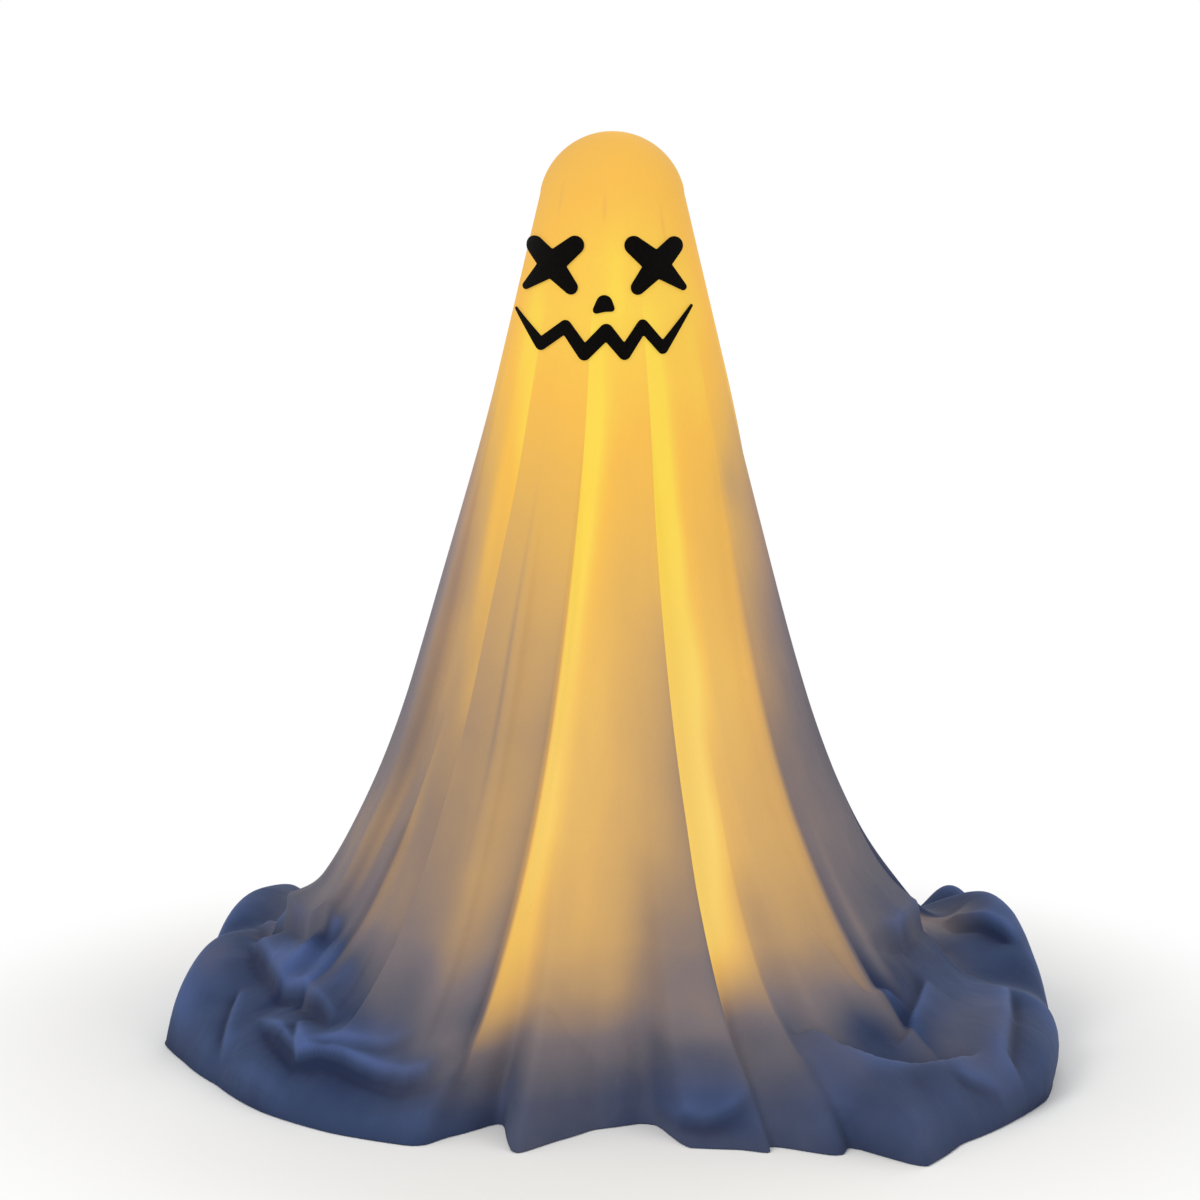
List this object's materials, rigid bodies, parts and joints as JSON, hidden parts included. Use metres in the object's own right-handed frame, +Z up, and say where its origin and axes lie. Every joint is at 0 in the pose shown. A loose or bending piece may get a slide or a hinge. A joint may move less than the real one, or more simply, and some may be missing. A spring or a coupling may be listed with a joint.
{
  "type": "lighted cloth ghost",
  "caption": "Free-standing lighted ghost: a sheer cloth shroud with a black felt face hangs over a weighted lamp stand and spreads in folds on the floor.",
  "frame": {"origin": "on the floor, on the axis of the pole, at the middle of the foot's non-slip face", "axes": "+Z up along the pole, -Y is the way the face looks, +X is on the viewer's right"},
  "size_m": [0.7439, 0.6819, 0.76],
  "materials": {
    "voile": "sheer matte weave",
    "black_felt": "matte felt",
    "frosted_dome": "frosted translucent",
    "white_abs": "fine moulded texture",
    "white_tube": "satin powder coat",
    "coupler_nylon": "satin moulded",
    "raw_steel": "mill finish",
    "zinc_steel": "bright zinc",
    "black_eva": "matte foam rubber",
    "black_abs": "fine moulded texture",
    "cell_jacket": "glossy sleeve",
    "nickel_steel": "nickel plated",
    "circuit_board": "solder mask",
    "grey_abs": "satin moulded",
    "black_rubber": "matte",
    "ivory_pvc": "satin",
    "ivory_abs": "satin moulded",
    "led_lens": "clear epoxy, lit warm white",
    "natural_nylon": "satin"
  },
  "bodies": {
    "stand": {"head_dome": "frosted_dome", "head_hub": "white_abs", "upper_tube": "white_tube", "middle_tube": "white_tube", "lower_tube": "white_tube", "tube_couplers": "coupler_nylon", "base_shell": "white_abs", "ballast_disc": "raw_steel", "base_cover": "white_abs", "cover_screws": "zinc_steel", "non_slip_pad": "black_eva", "pole_clip": "white_abs", "clip_screws": "zinc_steel", "battery_case": "black_abs", "battery_cells": "cell_jacket", "contact_springs": "nickel_steel", "contact_plates": "nickel_steel", "driver_board": "circuit_board", "switch_body": "zinc_steel", "wire_grommet": "black_rubber", "light_wire": "ivory_pvc", "led_holders": "ivory_abs", "led_bulbs": "led_lens", "cable_ties": "natural_nylon"},
    "shroud": {"ghost_cloth": "voile", "left_eye": "black_felt", "right_eye": "black_felt", "nose": "black_felt", "mouth": "black_felt"},
    "door": {"battery_door": "black_abs"},
    "switch": {"switch_slider": "grey_abs"}
  },
  "joints": [
    {"name": "shroud_lift", "type": "slide", "parent": "stand", "child": "shroud", "axis": [0, 0, 1], "range_m": [0, 0.8]},
    {"name": "door_slide", "type": "slide", "parent": "stand", "child": "door", "axis": [0, 0, 1], "range_m": [0, 0.08]},
    {"name": "switch_slide", "type": "slide", "parent": "stand", "child": "switch", "axis": [0, 0, 1], "range_m": [-0.004, 0]}
  ]
}
